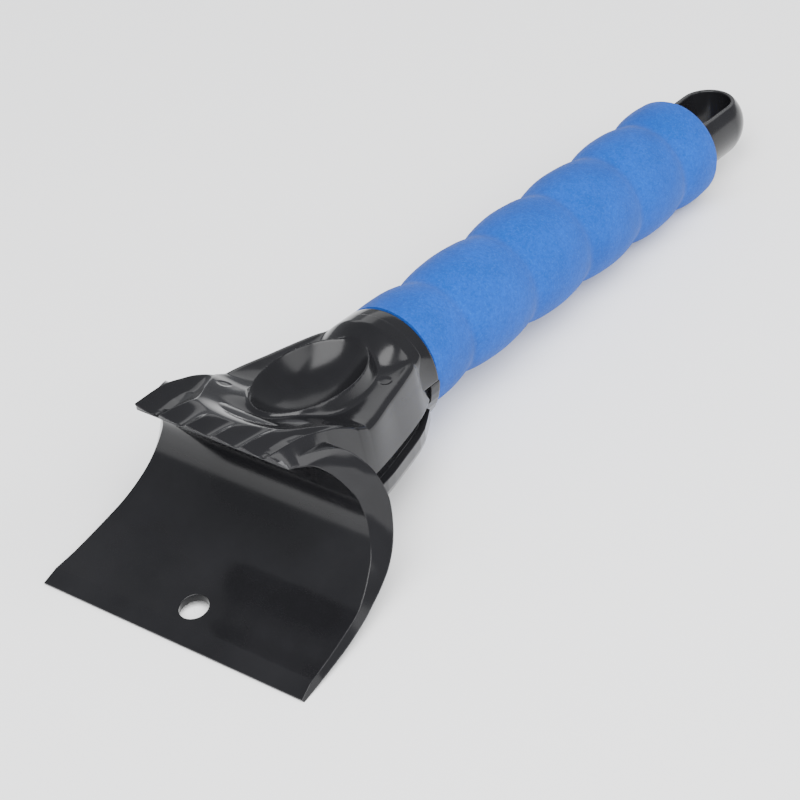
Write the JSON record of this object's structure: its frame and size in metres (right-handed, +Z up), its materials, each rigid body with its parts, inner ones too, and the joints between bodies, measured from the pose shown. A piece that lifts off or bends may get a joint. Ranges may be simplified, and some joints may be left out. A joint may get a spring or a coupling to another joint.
{
  "type": "windshield ice scraper",
  "caption": "Hand ice scraper with a curled scoop blade, ice-breaker teeth, a thumb rest, a scalloped foam grip and a hanging eye.",
  "frame": {"origin": "centre of the bounding box at the table the tool lies on: the blade edge and the last grip crest touch height 0", "axes": "+Z up from the table, +Y along the tool from the blade to the hanging eye, X along the blade edge"},
  "size_m": [0.1, 0.3084, 0.0591],
  "materials": {
    "gloss_black_plastic": "glossy moulded black plastic",
    "satin_black_plastic": "satin moulded black plastic",
    "blue_foam": "fine-grained matte foam rubber",
    "zinc_plated_steel": "zinc plated"
  },
  "bodies": {
    "root": {"scraper_head": "gloss_black_plastic", "lower_shell": "gloss_black_plastic", "handle_core": "satin_black_plastic", "foam_grip": "blue_foam", "shell_screw_front_left": "zinc_plated_steel", "shell_screw_front_right": "zinc_plated_steel", "shell_screw_rear_left": "zinc_plated_steel", "shell_screw_rear_right": "zinc_plated_steel"}
  },
  "joints": []
}
